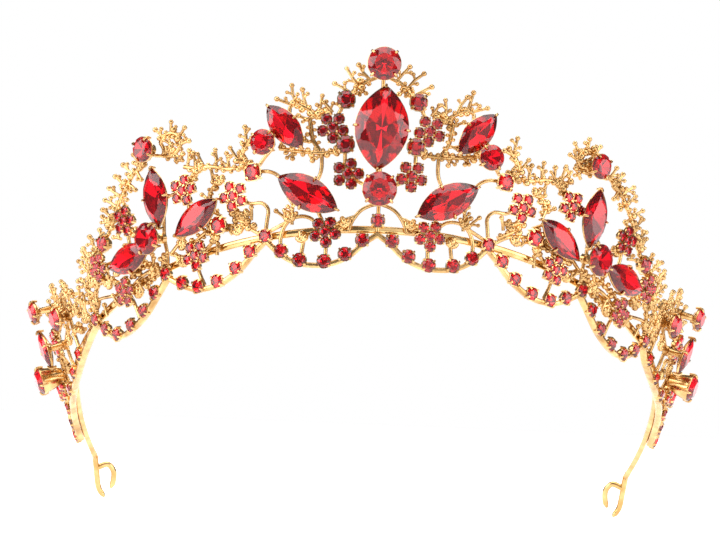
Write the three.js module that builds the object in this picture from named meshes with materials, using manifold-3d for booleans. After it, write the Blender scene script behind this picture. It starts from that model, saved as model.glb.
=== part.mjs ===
// A rigid tiara: a base band bent to the head, five openwork frames in front of it, and cut
// stones in pronged cups. Millimetres, +Z up, -Y to the front, +X to the wearer's left.
// The origin is on the band's inner face at the front, where the tiara rests on the head.
//
// Everything sits on one curved surface. u runs along the band from the front centre, v runs
// up the panel and w runs out of it, away from the head.
import * as THREE from "three";
import { mergeVertices } from "three/addons/utils/BufferGeometryUtils.js";
import { ConvexGeometry } from "three/addons/geometries/ConvexGeometry.js";
import Module from "manifold-3d";

const wasm = await Module();
wasm.setup();

// The band's curve, seen square to its own plane.
const HALF_WIDTH = 73;
const FRONT_DEPTH = 92; // front centre to the widest place
const BACK_DEPTH = 126; // the slower curve behind the widest place
const END_DEPTH = 132; // front centre to the band's ends
const TILT = THREE.MathUtils.degToRad(28); // the ends hang lower than the front
const FLARE = THREE.MathUtils.degToRad(22); // the panel leans away from the head

const SLIP = { from: 89, over: 10, by: 5 }; // the whole crest behind u = 89 sits 5 towards -u
const BAND = { height: 1.8, thickness: 1.4, step: 7 };
const FACET = 3; // half length of the flat facet at the front centre
const FRAME_BACK = 1.8; // w of the frames' back face, 0.3 to 0.4 clear of the band
const FRAME_FRONT = 3.0;
const FRAME_MID = (FRAME_BACK + FRAME_FRONT) / 2;
const CUP_BASE = 3.3; // w of the cups' feet, 0.3 clear of the frames
const STEM_R = 0.6;
const STEM_STEP = 3.6;
const RAIL_WIDTH = 1.2;
const RAIL_STEP = 2.8;
const TWIG = { fork: 0.45, side: 0.5, spread: 48, footR: 0.4, tipR: 0.6 };
const DETAIL = 0.07; // what the frames' joins are smoothed to
const SEAT = { small: 1.6, medium: 2.1, cup: 1.7, sides: 6 };
const PETAL_RING = 2.45;
const PETAL_R = 1.25;

const NAVETTE_BOW = 0.85; // how full a navette's sides are
const CUP = {
  floor: 0.4, // thickness under the stone
  gap: 0.3, // between the stone and the wall
  wall: 0.45,
  lip: 0.15, // how far the wall stands above the stone's girdle
  shoulder: 0.5, // where the wall starts to slope in, below the girdle
  seat: 0.35, // the same on the inside
  foot: 0.42, // share of the outline that the foot keeps
  coneFoot: 0.5,
  hollow: 0.22,
  clear: 2, // how far the cut for the hollow runs above the stone
  postR: 1.1,
  bite: 0.3, // how far the post goes into the cup
};
const PRONG = { side: 0.7, above: 0.75, below: 1.2 };
const CUT = { pavilion: 0.24, crown: 0.16, table: 0.58, girdle: 0.12, point: 0.12 };

const gold = new THREE.MeshStandardMaterial({ color: 0xe0ab52, metalness: 1, roughness: 0.25 });
const redGlass = new THREE.MeshStandardMaterial({ color: 0xb4081f, metalness: 0, roughness: 0.05 });

// ---------- the surface ----------

const X = new THREE.Vector3(1, 0, 0);
const BACK = new THREE.Vector3(0, Math.cos(TILT), -Math.sin(TILT));
const UP = new THREE.Vector3(0, Math.sin(TILT), Math.cos(TILT));

function bandPlane(psi) {
  const depth = psi < Math.PI / 2 ? FRONT_DEPTH : BACK_DEPTH;
  return new THREE.Vector2(HALF_WIDTH * Math.sin(psi), FRONT_DEPTH - depth * Math.cos(psi));
}

// The curve as points and arc lengths, so that u can be a length along the band.
const STEPS = 1200;
const PSI_END = Math.PI / 2 + Math.asin((END_DEPTH - FRONT_DEPTH) / BACK_DEPTH);
const track = [{ at: bandPlane(0), length: 0 }];
for (let i = 1; i <= STEPS; i++) {
  const at = bandPlane((PSI_END * i) / STEPS);
  const before = track[i - 1];
  track.push({ at, length: before.length + at.distanceTo(before.at) });
}
const BAND_END = track[STEPS].length;

function onTrack(length) {
  let i = track.findIndex((t) => t.length >= length);
  if (i < 0) i = STEPS;
  if (i === 0) i = 1;
  const [a, b] = [track[i - 1], track[i]];
  const share = (length - a.length) / (b.length - a.length);
  return {
    at: a.at.clone().lerp(b.at, share),
    along: b.at.clone().sub(a.at).normalize(),
  };
}

// The point at (u, v, w) with the directions along the band, up the panel and out of it.
function surface(u, v = 0, w = 0, flare = FLARE) {
  const side = u < 0 ? -1 : 1;
  const { at, along } = onTrack(Math.abs(u));
  const tangent = X.clone().multiplyScalar(along.x).addScaledVector(BACK, side * along.y);
  const outward = X.clone().multiplyScalar(side * along.y).addScaledVector(BACK, -along.x);
  const rise = UP.clone().multiplyScalar(Math.cos(flare)).addScaledVector(outward, Math.sin(flare));
  const out = outward.multiplyScalar(Math.cos(flare)).addScaledVector(UP, -Math.sin(flare));
  const point = X.clone().multiplyScalar(side * at.x).addScaledVector(BACK, at.y);
  point.addScaledVector(rise, v).addScaledVector(out, w);
  return { point, tangent, rise, out };
}

// A place on the crest. Its right side casting is soldered further back than the left one.
function crest(u, v, w = 0) {
  const share = THREE.MathUtils.clamp((Math.abs(u) - SLIP.from) / SLIP.over, 0, 1);
  return surface(u - SLIP.by * share, v, w);
}

// ---------- solids ----------

// A closed geometry as a manifold solid, turned the right way round if it is inside out.
function solid(geometry) {
  geometry.deleteAttribute("normal");
  geometry.deleteAttribute("uv");
  const merged = mergeVertices(geometry, 1e-4);
  const triVerts = new Uint32Array(merged.index.array);
  const vertProperties = merged.attributes.position.array;
  const made = new wasm.Manifold(new wasm.Mesh({ numProp: 3, vertProperties, triVerts }));
  if (made.volume() > 0) return made;
  const turned = triVerts.map((_, i) => triVerts[i % 3 === 0 ? i : i + (i % 3 === 1 ? 1 : -1)]);
  return new wasm.Manifold(new wasm.Mesh({ numProp: 3, vertProperties, triVerts: turned }));
}

// The short edges that a join or a cut leaves are taken out.
function tidied(made) {
  return made.asOriginal().simplify(DETAIL);
}

// Many pieces joined into one body, with the slivers of trapped space between them filled.
function joined(parts) {
  const shells = wasm.Manifold.union(parts).decompose();
  return tidied(wasm.Manifold.union(shells.filter((shell) => shell.volume() > 0)));
}

function geometryOf(made) {
  const { vertProperties, triVerts } = made.getMesh();
  const indexed = new THREE.BufferGeometry();
  indexed.setAttribute("position", new THREE.BufferAttribute(vertProperties, 3));
  indexed.setIndex(new THREE.BufferAttribute(triVerts, 1));
  const flat = indexed.toNonIndexed();
  flat.computeVertexNormals();
  return flat;
}

// Rings of points joined into a closed skin.
function skin(rings) {
  const n = rings[0].length;
  const index = [];
  for (let r = 0; r + 1 < rings.length; r++) {
    for (let k = 0; k < n; k++) {
      const [a, b] = [r * n + k, r * n + ((k + 1) % n)];
      index.push(a, b, b + n, a, b + n, a + n);
    }
  }
  const last = (rings.length - 1) * n;
  for (let k = 1; k + 1 < n; k++) index.push(0, k + 1, k, last, last + k, last + k + 1);
  const geometry = new THREE.BufferGeometry().setFromPoints(rings.flat());
  geometry.setIndex(index);
  return geometry;
}

// A rod through points that goes from one radius to another. Its rings turn about reference.
function rod(points, startRadius, endRadius, reference, sides = 4) {
  const rings = points.map((p, i) => {
    const ahead = points[Math.min(i + 1, points.length - 1)];
    const along = ahead.clone().sub(points[Math.max(i - 1, 0)]).normalize();
    const across = along.clone().cross(reference).normalize();
    const upward = across.clone().cross(along);
    const radius = THREE.MathUtils.lerp(startRadius, endRadius, i / (points.length - 1));
    return [...Array(sides).keys()].map((k) => {
      const turn = (2 * Math.PI * (k + 0.5)) / sides;
      const spot = p.clone().addScaledVector(across, radius * Math.cos(turn));
      return spot.addScaledVector(upward, radius * Math.sin(turn));
    });
  });
  return solid(skin(rings));
}

// Points along a smooth curve through (u, v) places, about gap apart.
function smoothPath(places, gap) {
  const flat = new THREE.CatmullRomCurve3(places.map(([u, v]) => new THREE.Vector3(u, v, 0)));
  return flat.getSpacedPoints(Math.max(2, Math.round(flat.getLength() / gap)));
}

// A rod that follows the crest through (u, v) places.
function stem(places, radius = STEM_R) {
  const path = smoothPath(places, STEM_STEP);
  const [u, v] = places[Math.floor(places.length / 2)];
  const points = path.map((p) => crest(p.x, p.y, FRAME_MID).point);
  return rod(points, radius, radius, crest(u, v).out);
}

// A flat strip that follows the crest through (u, v) places, standing on edge.
function rail(places) {
  const path = smoothPath(places, RAIL_STEP);
  const rings = path.map((p, i) => {
    const ahead = path[Math.min(i + 1, path.length - 1)];
    const along = ahead.clone().sub(path[Math.max(i - 1, 0)]).normalize();
    const across = new THREE.Vector3(-along.y, along.x, 0).multiplyScalar(RAIL_WIDTH / 2);
    const [low, high] = [p.clone().sub(across), p.clone().add(across)];
    return [
      crest(low.x, low.y, FRAME_BACK).point,
      crest(high.x, high.y, FRAME_BACK).point,
      crest(high.x, high.y, FRAME_FRONT).point,
      crest(low.x, low.y, FRAME_FRONT).point,
    ];
  });
  return solid(skin(rings));
}

// A flat plate on the crest: its outline is a list of (across, up) points about (u, v).
function plate(u, v, outline) {
  const { point, tangent, rise, out } = crest(u, v);
  const level = (w) =>
    outline.map(([x, y]) => {
      const spot = point.clone().addScaledVector(tangent, x).addScaledVector(rise, y);
      return spot.addScaledVector(out, w);
    });
  return solid(skin([level(FRAME_BACK), level(FRAME_FRONT)]));
}

function circle(radius, sides) {
  return [...Array(sides).keys()].map((k) => {
    const turn = (2 * Math.PI * (k + 0.5)) / sides;
    return [radius * Math.cos(turn), radius * Math.sin(turn)];
  });
}

// Five lobes, one under each petal stone.
function flowerOutline() {
  return [...Array(10).keys()].map((k) => {
    const turn = Math.PI / 2 + (Math.PI * k) / 5;
    const radius = k % 2 ? PETAL_RING : PETAL_RING + PETAL_R;
    return [radius * Math.cos(turn), radius * Math.sin(turn)];
  });
}

// A crest twig: a stalk with two side shoots, each swelling to its tip.
function twig(u, v, degrees, length) {
  const grown = (from, turn, reach) => {
    const angle = THREE.MathUtils.degToRad(turn);
    return [from[0] + reach * Math.cos(angle), from[1] + reach * Math.sin(angle)];
  };
  const foot = [u, v];
  const fork = grown(foot, degrees, TWIG.fork * length);
  const shoots = [
    [foot, grown(foot, degrees, length)],
    [fork, grown(fork, degrees + TWIG.spread, TWIG.side * length)],
    [fork, grown(fork, degrees - TWIG.spread, TWIG.side * length)],
  ];
  return shoots.map(([start, end]) => {
    const from = crest(...start, FRAME_MID);
    const to = crest(...end, FRAME_MID);
    return rod([from.point, to.point], TWIG.footR, TWIG.tipR, from.out);
  });
}

// ---------- stones and cups ----------

// A stone's outline about its own centre, its long way along x. sides is a multiple of four.
function outlineOf(cut, length, width, grow = 0, sides = 8) {
  const [a, b] = [length / 2 + grow, width / 2 + grow];
  if (cut === "round") return circle(b, sides);
  // A navette is two arcs that meet in points.
  return [...Array(sides).keys()].map((k) => {
    const turn = (2 * Math.PI * k) / sides;
    const x = a * Math.cos(turn);
    const bow = b * (1 - (x / a) ** 2) ** NAVETTE_BOW;
    return [x, Math.abs(Math.sin(turn)) < 1e-6 ? 0 : Math.sign(Math.sin(turn)) * bow];
  });
}

function level(outline, z, scale = 1) {
  return outline.map(([x, y]) => new THREE.Vector3(x * scale, y * scale, z));
}

// Heights above the cup's foot, worked out from the stone's width.
function heights({ width, rise }) {
  const bowl = rise;
  const girdle = bowl + CUP.floor + CUT.pavilion * width;
  return { bowl, girdle, crown: girdle + CUT.crown * width };
}

function stoneGeometry(stone) {
  const { cut, length, width } = stone;
  const { bowl, girdle, crown } = heights(stone);
  const edge = outlineOf(cut, length, width);
  return new ConvexGeometry([
    ...level(edge, crown, CUT.table),
    ...level(edge, girdle + CUT.girdle),
    ...level(edge, girdle - CUT.girdle),
    ...level(edge, bowl + CUP.floor + CUP.gap, CUT.point),
  ]);
}

function cupGeometry(stone) {
  const { cut, length, width, rise } = stone;
  const { bowl, girdle } = heights(stone);
  const inside = outlineOf(cut, length, width, CUP.gap);
  const outside = outlineOf(cut, length, width, CUP.gap + CUP.wall);
  const foot = stone.cone ? 0 : bowl;
  const shell = new ConvexGeometry([
    ...level(outside, girdle + CUP.lip),
    ...level(outside, girdle - CUP.shoulder),
    ...level(outside, foot, stone.cone ? CUP.coneFoot : CUP.foot),
  ]);
  const hollow = new ConvexGeometry([
    ...level(inside, girdle + CUP.clear),
    ...level(inside, girdle - CUP.seat),
    ...level(inside, bowl + CUP.floor, CUP.hollow),
  ]);
  const parts = [solid(shell)];
  if (rise > 0 && !stone.cone) {
    const height = rise + CUP.bite;
    const post = new THREE.CylinderGeometry(CUP.postR, CUP.postR, height, 8);
    parts.push(solid(post.rotateX(Math.PI / 2).translate(0, 0, height / 2)));
  }
  for (const [x, y] of prongPlaces(stone)) {
    const prong = new THREE.BoxGeometry(PRONG.side, PRONG.side, PRONG.above + PRONG.below);
    prong.rotateZ(Math.atan2(y, x));
    prong.translate(x, y, girdle + (PRONG.above - PRONG.below) / 2);
    parts.push(solid(prong));
  }
  return geometryOf(tidied(wasm.Manifold.union(parts).subtract(solid(hollow))));
}

// Four prongs just outside the stone's edge: at a navette's points and sides, or round a circle.
function prongPlaces({ cut, length, width }) {
  const out = CUP.gap + PRONG.side / 2;
  if (cut === "round") {
    return [45, 135, 225, 315].map((degrees) => {
      const turn = THREE.MathUtils.degToRad(degrees);
      return [(width / 2 + out) * Math.cos(turn), (width / 2 + out) * Math.sin(turn)];
    });
  }
  const [a, b] = [length / 2 + out, width / 2 + out];
  return [[a, 0], [-a, 0], [0, b], [0, -b]];
}

const round = (name, u, v, width, rise, extra = {}) => {
  return { name, cut: "round", u, v, length: width, width, angle: 90, rise, ...extra };
};
const navette = (name, u, v, length, width, angle, rise, extra = {}) => {
  return { name, cut: "navette", u, v, length, width, angle, rise, ...extra };
};

const CENTRE_STONES = [
  round("crown_round", 0, 38.4, 7.8, 3.0),
  navette("centre_drop", 0, 23.4, 20.0, 12.6, 86, 0),
  round("lower_round", 0, 8.8, 8, 3.0),
];
// One side's stones. The other side has the same ones, mirrored, except for lean: hand
// soldering moved them [towards the wearer's right, up on that side and down on the left].
const SIDE_STONES = [
  navette("inner_navette", 14.7, 8.1, 16.4, 7.8, 33, 0, { lean: [0.2, 0.4] }),
  navette("crest_navette", 18.7, 24.8, 13.2, 6.6, 55, 0),
  round("crest_round", 22.2, 20.6, 6, 2.6, { lean: [0.6, 0.9] }),
  round("peak_round", 49.2, 27.6, 6, 0.8, { lean: [1.8, 0.6] }),
  navette("peak_navette", 50.6, 15.4, 14.4, 7.4, 98, 0, { lean: [0.4, 0.6] }),
  navette("fan_navette_inner", 42.2, 7.2, 14.6, 6.4, -21, 0, { lean: [-0.7, 0.7] }),
  navette("fan_navette_outer", 64.9, 5.7, 15.6, 6.8, 3, 0, { lean: [-1.1, -0.3] }),
  round("fan_round", 53.5, 6.2, 7.6, 2.8, { lean: [0.4, 0.6] }),
  round("side_round_low", 98.4, 7.7, 6, 1.2),
  round("side_round_high", 106.2, 14.5, 5.4, 3.4),
  navette("side_navette", 108.0, 4.8, 10.0, 4.8, 90, 3.4),
  round("flank_round", 121.4, 3.2, 6.8, 3.8, { cone: true }),
];

// Where a stone's cup is soldered, as [u, v], on the side that sign gives.
function soldered(stone, sign) {
  const [along, up] = stone.lean ?? [0, 0];
  return [sign * stone.u - along, stone.v - sign * up];
}

// The same for a list of stones' names, so that a frame's pads stay under its cups.
function under(names = [], sign) {
  const stones = [...CENTRE_STONES, ...SIDE_STONES];
  return names.map((name) => soldered(stones.find((stone) => stone.name === name), sign));
}

// ---------- frames ----------

const CENTRE_SPINE = {
  stems: [
    { places: [[0, 0], [0, 20], [0, 38.2]] },
    { places: [[-5.4, -0.8], [-4.2, 2.9], [0, 5], [4.2, 2.9], [5.4, -0.8]] },
  ],
  seats: [[0, 1.9]],
  pads: ["lower_round", "centre_drop", "crown_round"],
};
const CENTRE_HALF = {
  rails: [[[0, -0.4], [3.4, -2.8], [7.4, -6.1], [12.4, -7.6], [18.3, -6.8], [22.6, -4.1], [24.2, -1.4]]],
  seats: [[3.4, -2.8], [7.4, -6.1], [12.4, -7.6], [18.3, -6.8], [22.6, -4.1]],
  mediumSeats: [[6.8, 30.4], [7.0, 19.8]],
  pads: ["inner_navette", "crest_navette", "crest_round"],
  flowers: [[9.5, 23.9], [6.6, 12.8], [11.8, -0.7]],
  stems: [
    { places: [[0, 36.5], [3.8, 34.2], [6.8, 30.4], [9.5, 23.9], [7.4, 19.6], [6.6, 12.8], [0, 8.8]] },
    { places: [[22.2, 20.6], [17, 19.2], [12, 18.4], [7.4, 19.6]], radius: 0.8 },
    { places: [[12, 18.4], [12.4, 13.6], [14.7, 8.1], [13.2, 3.8], [11.8, -0.7], [12.2, -7.4]] },
    { places: [[14.7, 8.1], [19.2, 12.0], [23.0, 13.2]] },
    { places: [[11.8, -0.7], [15.4, 3.2], [19.4, 3.4], [22.6, 0.4], [22.6, -4.1]] },
    { places: [[22.2, 20.6], [18.7, 24.8], [15.2, 29.2], [11.4, 27.4], [9.5, 23.9]] },
    { places: [[4.2, 2.9], [8.4, 1.6], [11.8, -0.7]] },
  ],
  twigs: [
    [3.8, 34.2, 60, 4.6], [6.8, 31.4, 70, 5], [13.2, 28.6, 75, 6],
    [15.2, 29.2, 40, 5.5], [20.0, 3.0, 95, 6.5],
  ],
};
const FRONT_HALF = {
  rails: [
    [[26.2, 0], [30.3, -2.9], [34.7, -6.0], [40.4, -7.9], [46.2, -7.6], [50.8, -5.3], [55.2, -1.6]],
    [[55.2, -1.6], [60.6, -4.6], [66.1, -7.2], [72.6, -8.5], [79.5, -8.0], [84.2, -4.6], [87.2, -0.6]],
  ],
  seats: [
    [26.4, 0], [30.3, -2.9], [34.7, -6.0], [40.4, -7.9], [46.2, -7.6], [50.8, -5.3], [55.2, -1.6],
    [60.6, -4.6], [66.1, -7.2], [72.6, -8.5], [79.5, -8.0], [84.2, -4.6], [87.2, -0.6],
  ],
  mediumSeats: [[26.8, 15.4], [36.8, 4.8], [72.9, 13.2]],
  pads: [
    "peak_round", "peak_navette", "fan_navette_inner", "fan_round", "fan_navette_outer",
  ],
  flowers: [[32.1, 10.8], [44.4, 15.6], [44.7, -0.4], [63.6, 15.0], [78.0, 9.2], [70.4, -0.7]],
  stems: [
    { places: [[26.6, 0], [27.8, 5], [26.8, 10], [26.8, 15.4], [28.8, 20], [30.4, 24.2]] },
    { places: [[30.4, 18.4], [35.2, 19.6], [40.0, 19.0], [44.6, 21.6], [49.2, 27.6]], radius: 0.8 },
    { places: [[26.8, 15.4], [30.4, 18.4]] },
    { places: [[32.1, 10.8], [30.2, 6.0], [26.6, 0]] },
    { places: [[32.1, 10.8], [35.8, 15.2], [40.0, 19.0]] },
    { places: [[44.4, 15.6], [43.0, 20.0]] },
    { places: [[44.4, 15.6], [50.6, 15.4], [52.6, 10], [53.5, 6.2], [52.6, 2.4], [55.2, -1.6]] },
    { places: [[42.2, 7.2], [47.6, 5.0], [52.6, 2.4]] },
    { places: [[36.8, 4.8], [40, 1.2], [44.7, -0.4], [49.0, 0.6], [52.6, 2.4]] },
    { places: [[36.8, 4.8], [31, 3], [26.6, 0]] },
    { places: [[44.7, -0.4], [45.4, -4], [44.6, -7.8]] },
    { places: [[36.8, 4.8], [42.2, 7.2]] },
    {
      places: [[49.2, 27.6], [53.8, 25.0], [57.6, 21.2], [63.6, 15.0], [68.2, 14.9], [72.9, 13.2], [78, 9.2]],
      radius: 0.8,
    },
    { places: [[78, 9.2], [82.2, 6.2], [85.6, 3.2], [87.2, -0.6]], radius: 0.8 },
    { places: [[53.5, 6.2], [58.8, 6.8], [64.9, 5.7], [71.0, 7.8], [78.0, 9.2]] },
    { places: [[70.4, -0.7], [65.0, 0.6], [59.4, 0.8], [55.2, -1.6]] },
    { places: [[70.4, -0.7], [69.4, -4.2], [69.0, -8.0]] },
    { places: [[70.4, -0.7], [76.2, 0.8], [82.0, 2.6], [85.6, 3.2]] },
    { places: [[63.6, 15.0], [65.0, 10.4], [64.9, 5.7]] },
  ],
  twigs: [
    [28.8, 20, 100, 6], [30.4, 23.8, 60, 5], [33.2, 19.2, 95, 5], [38.0, 19.2, 80, 5.5],
    [43.6, 21.0, 115, 5.5], [47.0, 24.8, 110, 5.5], [53.8, 25.0, 55, 5], [57.6, 21.2, 60, 5.5],
    [68.2, 14.9, 75, 6], [75.8, 11.4, 65, 6], [82.2, 6.2, 90, 6], [59.4, 0.8, 100, 3.4],
    [78.2, 1.2, 80, 4],
  ],
};
const SIDE_HALF = {
  rails: [[[89.8, -0.8], [98.4, -2.6], [107.8, -3.2], [118.6, -2.4], [128, -1], [140, 0], [152, 0]]],
  seats: [[99.0, -2.4], [108.4, -3.0], [119.0, -2.4], [136.4, 0.4], [144, 0], [151.4, 0]],
  mediumSeats: [[130.8, 3.2]],
  pads: ["side_round_low", "side_round_high", "side_navette"],
  footings: ["flank_round"],
  flowers: [[113.8, 8.4], [126.4, 2.4]],
  stems: [
    { places: [[90.2, -0.8], [93.4, 4.4], [98.4, 7.7], [102.6, 12], [106.2, 14.5]], radius: 0.8 },
    {
      places: [
        [106.2, 14.5], [110.6, 12.2], [113.8, 8.4], [117.4, 5.2], [121.4, 3.2], [126.4, 2.4], [130.8, 3.2],
      ],
      radius: 0.8,
    },
    { places: [[98.4, 7.7], [103.2, 6.4], [108.0, 4.8], [108.8, 0], [108.4, -3]] },
    { places: [[113.8, 8.4], [110.6, 6.6], [108.0, 4.8]] },
    { places: [[121.4, 3.2], [119.6, -2.2]] },
    { places: [[130.8, 3.2], [136.4, 1], [144, 0]] },
    { places: [[98.4, 7.7], [99.0, 2.6], [99.0, -2.4]] },
  ],
  twigs: [
    [93.4, 4.4, 90, 6], [98.4, 7.7, 105, 6.5], [102.6, 12, 110, 6], [106.2, 15.2, 80, 5.4],
    [110.6, 12.2, 60, 5.4], [117.4, 5.2, 75, 5.4], [128.4, 3.2, 80, 4], [134, 2, 70, 4],
  ],
};

// Everything in one list of parts, on the side that sign gives.
function frameParts(list, sign) {
  const place = ([u, v]) => [sign * u, v];
  const turn = (degrees) => (sign < 0 ? 180 - degrees : degrees);
  const plates = (places = [], outline) => places.map((p) => plate(...p, outline));
  const twigs = (list.twigs ?? []).map(([u, v, degrees, length]) => {
    return twig(sign * u, v, turn(degrees), length);
  });
  return [
    ...(list.rails ?? []).map((places) => rail(places.map(place))),
    ...(list.stems ?? []).map(({ places, radius }) => stem(places.map(place), radius)),
    ...plates(list.seats?.map(place), circle(SEAT.small, SEAT.sides)),
    ...plates(list.mediumSeats?.map(place), circle(SEAT.medium, SEAT.sides)),
    ...plates(under(list.pads, sign), circle(SEAT.cup, SEAT.sides)),
    ...plates(under(list.footings, sign), circle(SEAT.medium, SEAT.sides)),
    ...plates(list.flowers?.map(place), flowerOutline()),
    ...twigs.flat(),
  ];
}

// ---------- base band ----------

function bandRing(u) {
  const { point, rise, out } = surface(u, 0, 0, TILT);
  const corner = (v, w) => point.clone().addScaledVector(rise, v).addScaledVector(out, w);
  const half = BAND.height / 2;
  return [corner(-half, 0), corner(half, 0), corner(half, BAND.thickness), corner(-half, BAND.thickness)];
}

// The hook at a band end: the strand runs on downwards, and an arm curls back over a narrow
// eye. Each place is (towards the other end, backwards, downwards) from the band's end.
const HOOK = {
  strand: [[-0.4, -2, -1], [0, 0.6, 0.6], [0.4, 3.6, 4.6], [1.0, 5.2, 8.6], [2.6, 5.6, 11]],
  arm: [[0.4, 2.6, 3.2], [3.2, 3.0, 2.2], [4.8, 3.8, 4], [4.8, 4.6, 6.6], [4.2, 5.2, 8.6]],
  footR: 0.8,
  tipR: 0.7,
  steps: 8,
};

function endHook(sign) {
  const end = surface(sign * BAND_END, 0, BAND.thickness / 2, TILT).point;
  return [HOOK.strand, HOOK.arm].map((places) => {
    const spots = places.map(([inward, back, down]) => {
      return end.clone().add(new THREE.Vector3(-sign * inward, back, -down));
    });
    const points = new THREE.CatmullRomCurve3(spots).getPoints(HOOK.steps);
    return rod(points, HOOK.footR, HOOK.tipR, new THREE.Vector3(0, 1, 0));
  });
}

function baseBand() {
  const stations = [-FACET, FACET];
  for (let u = FACET; u < BAND_END; ) {
    u = Math.min(u + BAND.step, BAND_END);
    stations.push(u);
    stations.unshift(-u);
  }
  const strip = solid(skin(stations.map(bandRing)));
  return joined([strip, ...endHook(1), ...endHook(-1)]);
}

// ---------- assembly ----------

const tiara = new THREE.Group();

function addMesh(name, geometry, material) {
  const mesh = new THREE.Mesh(geometry, material);
  mesh.name = name;
  tiara.add(mesh);
  return mesh;
}

// A stone and its cup share one place: x along the stone, z out of the crest.
function addStone(stone, name, sign) {
  const angle = THREE.MathUtils.degToRad(sign < 0 ? 180 - stone.angle : stone.angle);
  const { point, tangent, rise, out } = crest(...soldered(stone, sign), CUP_BASE);
  const turn = new THREE.Matrix4().makeBasis(tangent, rise, out);
  turn.multiply(new THREE.Matrix4().makeRotationZ(angle));
  const cup = addMesh(`${name}_cup`, cupGeometry(stone), gold);
  const cut = addMesh(`${name}_stone`, stoneGeometry(stone), redGlass);
  for (const mesh of [cup, cut]) {
    mesh.position.copy(point);
    mesh.quaternion.setFromRotationMatrix(turn);
  }
}

addMesh("base_band", geometryOf(baseBand()), gold);
const centreParts = [
  ...frameParts(CENTRE_SPINE, 1),
  ...frameParts(CENTRE_HALF, 1),
  ...frameParts(CENTRE_HALF, -1),
];
addMesh("centre_frame", geometryOf(joined(centreParts)), gold);
for (const stone of CENTRE_STONES) addStone(stone, stone.name, 1);
for (const [side, sign] of [["left", 1], ["right", -1]]) {
  addMesh(`${side}_front_frame`, geometryOf(joined(frameParts(FRONT_HALF, sign))), gold);
  addMesh(`${side}_side_frame`, geometryOf(joined(frameParts(SIDE_HALF, sign))), gold);
  for (const stone of SIDE_STONES) addStone(stone, `${side}_${stone.name}`, sign);
}

// Put the middle of the flat facet at the origin.
const facet = bandRing(FACET).slice(0, 2).concat(bandRing(-FACET).slice(0, 2));
const facetCentre = facet.reduce((sum, p) => sum.add(p), new THREE.Vector3()).divideScalar(4);
tiara.position.copy(facetCentre).negate();

export default tiara;
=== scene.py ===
# %% [markdown]
# # A gold tiara with red stones
# The real piece is a cast openwork crest soldered to a bent band, with glass stones held in
# small metal cups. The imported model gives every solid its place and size. This script keeps
# those places and makes the parts that catch the light: thin wires, beaded twigs, cut stones
# and thin cups with claws. Everything is built from a few tables in millimetres.

import math
import random

import bmesh
import bpy
import numpy as np
from mathutils import Matrix, Vector


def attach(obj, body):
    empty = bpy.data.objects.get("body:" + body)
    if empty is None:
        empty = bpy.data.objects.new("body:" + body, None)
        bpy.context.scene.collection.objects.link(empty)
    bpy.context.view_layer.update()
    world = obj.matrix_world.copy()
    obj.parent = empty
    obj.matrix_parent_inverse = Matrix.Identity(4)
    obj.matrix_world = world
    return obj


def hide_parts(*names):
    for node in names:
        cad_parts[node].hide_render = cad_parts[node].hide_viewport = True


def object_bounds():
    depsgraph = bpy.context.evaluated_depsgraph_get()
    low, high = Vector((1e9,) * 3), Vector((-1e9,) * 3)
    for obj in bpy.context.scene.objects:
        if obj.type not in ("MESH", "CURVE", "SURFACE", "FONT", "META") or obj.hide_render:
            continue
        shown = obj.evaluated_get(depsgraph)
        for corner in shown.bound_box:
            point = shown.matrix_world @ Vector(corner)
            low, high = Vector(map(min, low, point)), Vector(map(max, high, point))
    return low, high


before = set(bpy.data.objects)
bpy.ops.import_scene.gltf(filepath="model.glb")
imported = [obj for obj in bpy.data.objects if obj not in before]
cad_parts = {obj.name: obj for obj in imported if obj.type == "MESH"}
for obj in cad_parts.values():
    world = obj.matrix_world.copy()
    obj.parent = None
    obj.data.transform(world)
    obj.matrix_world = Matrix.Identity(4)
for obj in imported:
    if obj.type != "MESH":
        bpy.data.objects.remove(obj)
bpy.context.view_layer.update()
MM = 0.001
print("nodes", len(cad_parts))

# %% [markdown]
# ## The camera first
# A long lens from one metre keeps the two sides of the tiara nearly parallel, so it looks
# the way a person sees it across a room. The camera stands a little to one side and is tipped
# by two degrees. It could be placed by dragging it in the viewport, but numbers can be repeated.

# %% Camera
CAMERA_PLACE = Vector((-0.0165, -0.9999, 0.0))
CAMERA_TARGET = Vector((-0.00369, 0.0, -0.01013))
CAMERA_TIP = math.radians(2.3)
LENS = 212.3
SENSOR_WIDTH = 36

camera = bpy.data.objects.new("camera", bpy.data.cameras.new("camera"))
bpy.context.scene.collection.objects.link(camera)
camera.data.lens = LENS
camera.data.sensor_width = SENSOR_WIDTH
aim = (CAMERA_TARGET - CAMERA_PLACE).to_track_quat("-Z", "Y")
camera.matrix_world = (
    Matrix.Translation(CAMERA_PLACE) @ aim.to_matrix().to_4x4() @ Matrix.Rotation(CAMERA_TIP, 4, "Z")
)
bpy.context.scene.camera = camera
bpy.context.scene.view_settings.view_transform = "Standard"
print("camera", [round(n, 4) for n in camera.matrix_world.translation])

# %% [markdown]
# ## One curved surface
# The band is half of an oval, tilted so that its ends hang low, and the crest leans away
# from the head. So each place on the tiara can be given by three lengths: u along the band
# from the front centre, v up the crest, and w out of it. These are the same constants as the
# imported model's, so a piece made here lands on the solid that it stands for.

# %% The surface
HALF_WIDTH = 73
FRONT_DEPTH = 92
BACK_DEPTH = 126
END_DEPTH = 132
TILT = math.radians(28)
FLARE = math.radians(22)
BAND_HEIGHT = 1.8
BAND_THICK = 1.4
FACET = 3
FRAME_BACK = 1.8
FRAME_FRONT = 3.0
FRAME_MID = (FRAME_BACK + FRAME_FRONT) / 2
CUP_BASE = 3.3
TRACK_POINTS = 1201

BACKWARD = np.array([0, math.cos(TILT), -math.sin(TILT)])
UPWARD = np.array([0, math.sin(TILT), math.cos(TILT)])
SIDEWAYS = np.array([1.0, 0, 0])

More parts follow.
